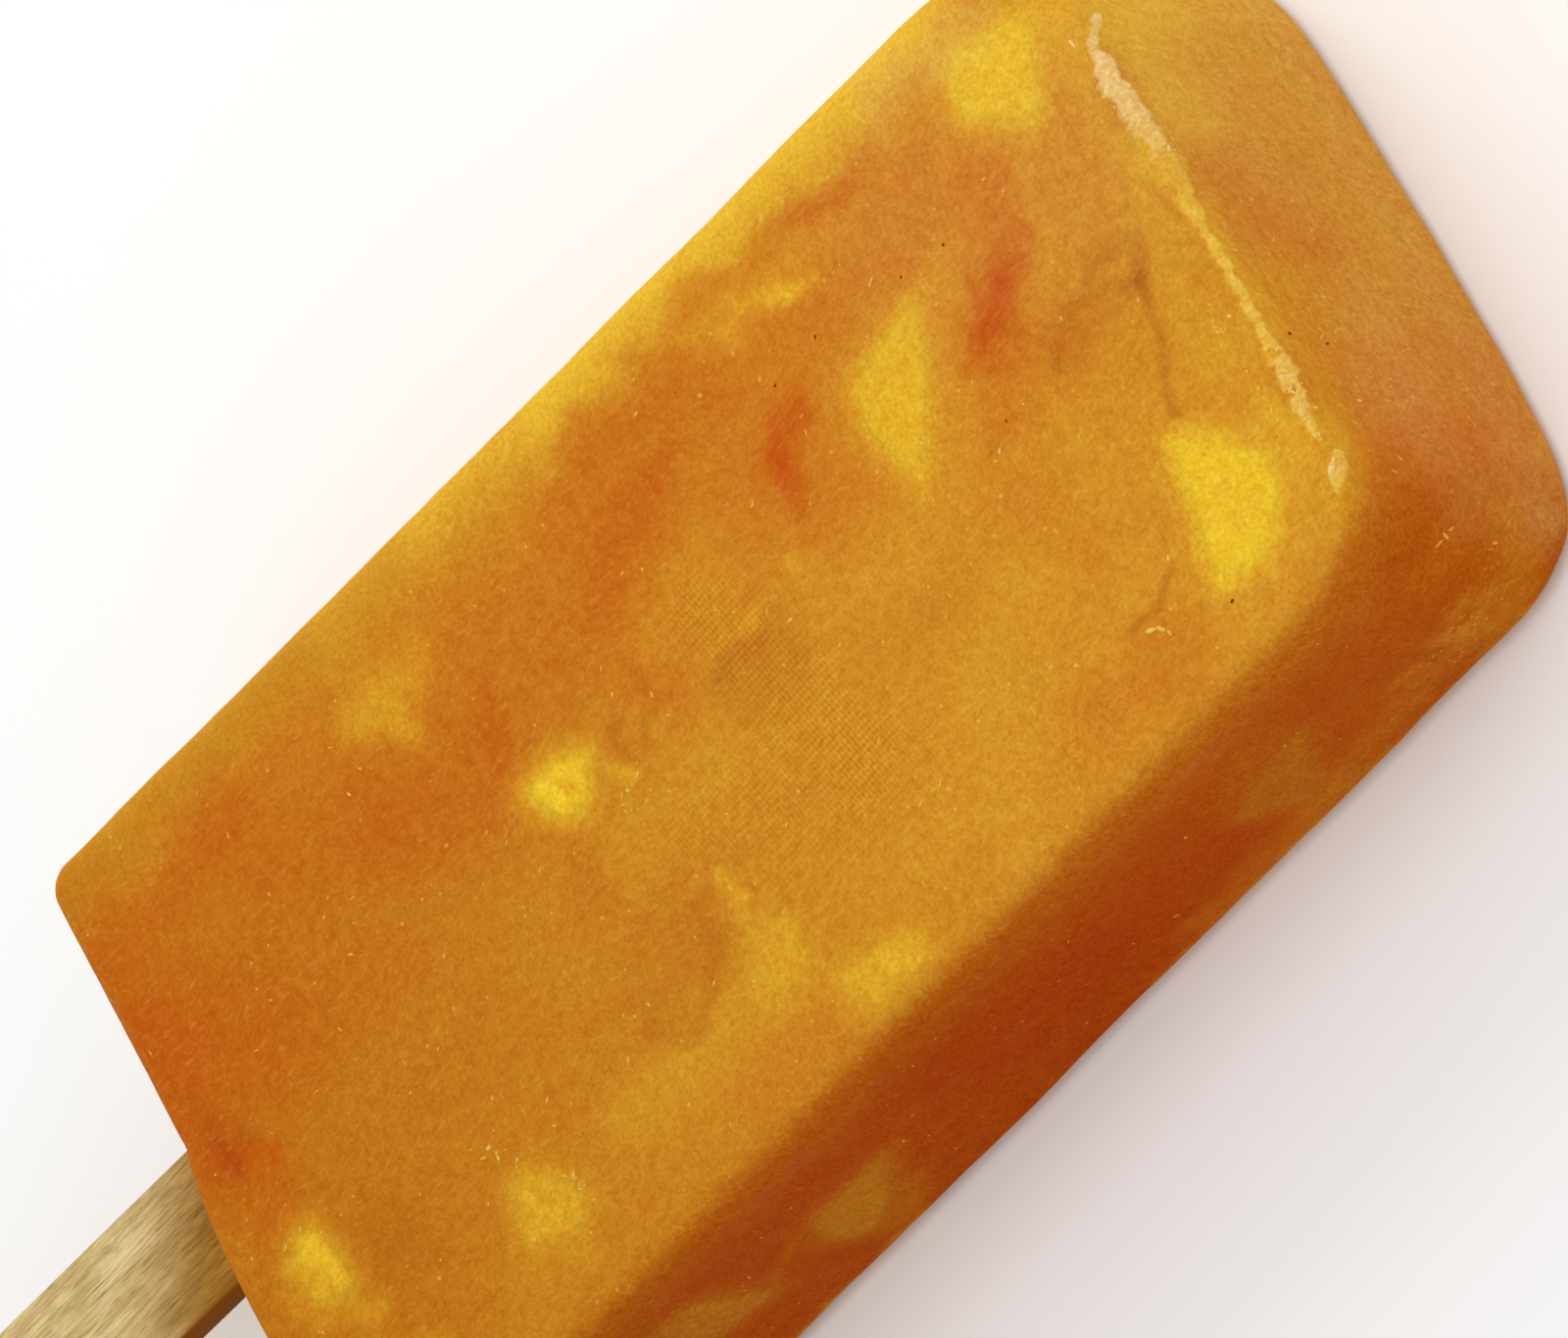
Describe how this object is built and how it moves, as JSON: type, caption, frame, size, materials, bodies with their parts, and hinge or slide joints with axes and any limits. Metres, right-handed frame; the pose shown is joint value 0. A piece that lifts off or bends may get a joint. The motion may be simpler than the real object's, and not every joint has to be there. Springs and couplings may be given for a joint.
{
  "type": "ice lolly",
  "caption": "Fruit ice lolly: a rounded block of mango ice with diced mango at its faces, frozen on a flat wooden stick.",
  "frame": {"origin": "middle of the flat back face that the lolly lies on", "axes": "+X from the stick to the tip, +Z out of the broad front face"},
  "size_m": [0.1544, 0.0516, 0.0227],
  "materials": {
    "mango_ice": "frosted, translucent fruit ice",
    "mango_flesh": "frozen, moist cut fruit",
    "birch": "bare sanded wood"
  },
  "bodies": {
    "root": {"ice_block": "mango_ice", "stick": "birch", "mango_front_1": "mango_flesh", "mango_front_2": "mango_flesh", "mango_front_3": "mango_flesh", "mango_front_4": "mango_flesh", "mango_front_5": "mango_flesh", "mango_front_6": "mango_flesh", "mango_front_7": "mango_flesh", "mango_front_8": "mango_flesh", "mango_front_9": "mango_flesh", "mango_side_1": "mango_flesh", "mango_side_2": "mango_flesh", "mango_side_3": "mango_flesh", "mango_side_4": "mango_flesh", "mango_left_1": "mango_flesh", "mango_left_2": "mango_flesh", "mango_back_1": "mango_flesh", "mango_back_2": "mango_flesh", "mango_back_3": "mango_flesh", "mango_back_4": "mango_flesh", "mango_back_5": "mango_flesh", "mango_back_6": "mango_flesh"}
  },
  "joints": []
}
